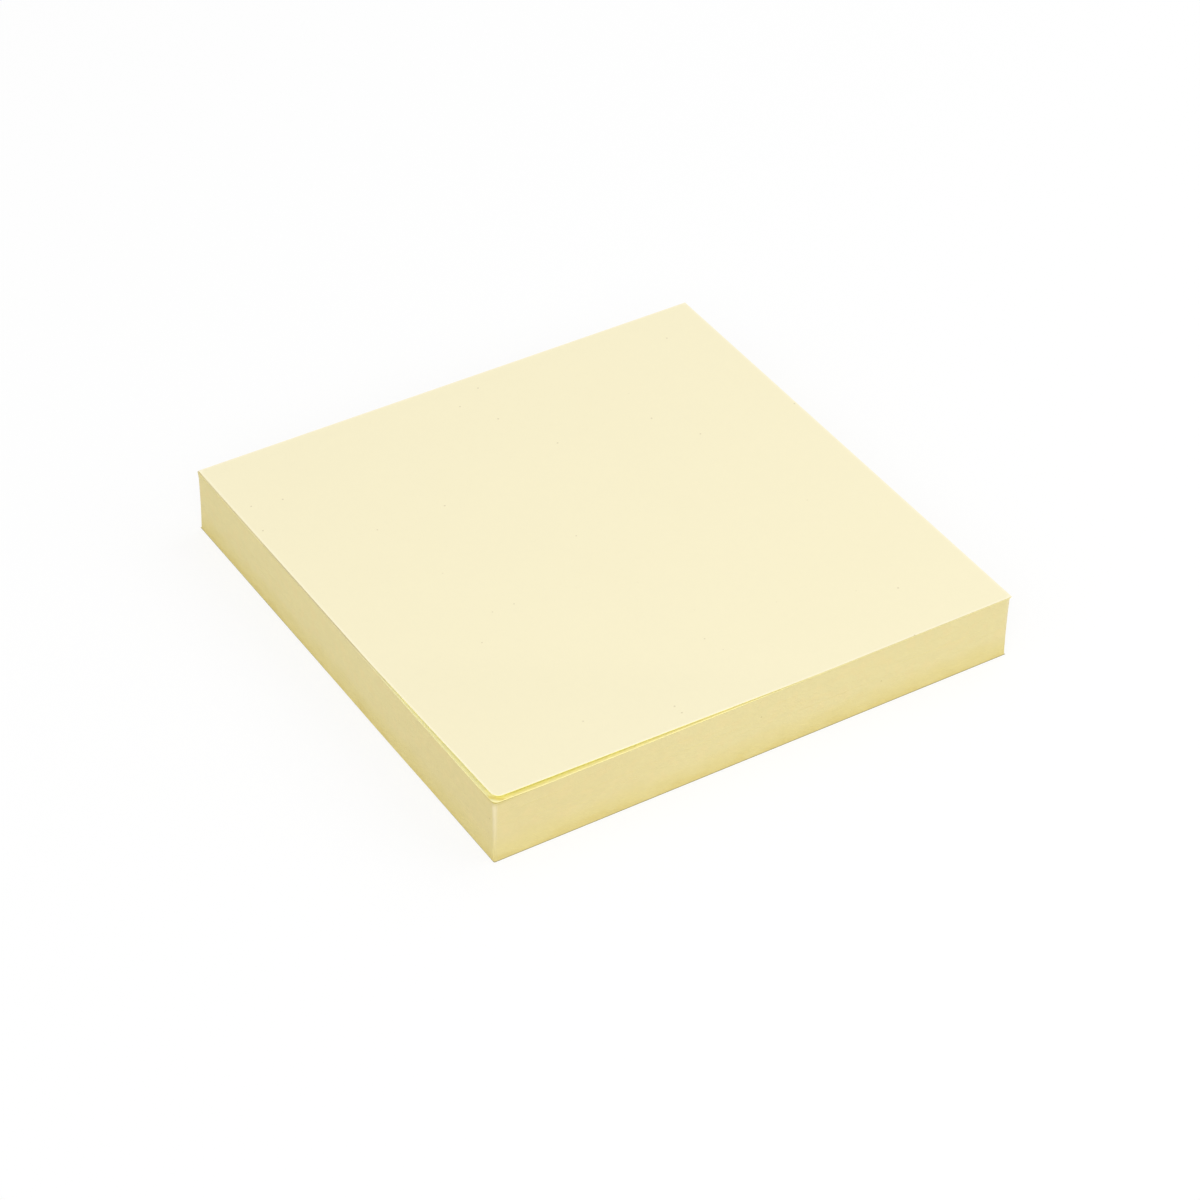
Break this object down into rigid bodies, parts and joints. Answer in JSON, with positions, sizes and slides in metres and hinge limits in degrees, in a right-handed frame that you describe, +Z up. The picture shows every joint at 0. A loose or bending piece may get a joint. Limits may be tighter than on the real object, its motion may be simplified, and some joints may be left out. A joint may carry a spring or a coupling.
{
  "type": "self-stick note pad",
  "caption": "Square pad of pale yellow self-stick paper notes, glued along one edge on a backing sheet, with the upper notes lifting at one free corner.",
  "frame": {"origin": "centre of the pad's underside", "axes": "+Z up through the notes, +Y towards the glued edge, -Y towards the free edge, the lifted corner at -X -Y"},
  "size_m": [0.0762, 0.076, 0.0104],
  "materials": {
    "note_paper": "matte, uncoated, pale yellow",
    "stacked_paper": "matte cut edges, deeper yellow",
    "backing_paper": "smooth, slight sheen, pale yellow",
    "adhesive_film": "clear tacky film, satin"
  },
  "bodies": {
    "root": {"backing_sheet": "backing_paper", "backing_adhesive": "adhesive_film", "note_block": "stacked_paper", "second_note_adhesive": "adhesive_film", "second_note": "note_paper", "top_note_adhesive": "adhesive_film", "top_note": "note_paper"}
  },
  "joints": []
}
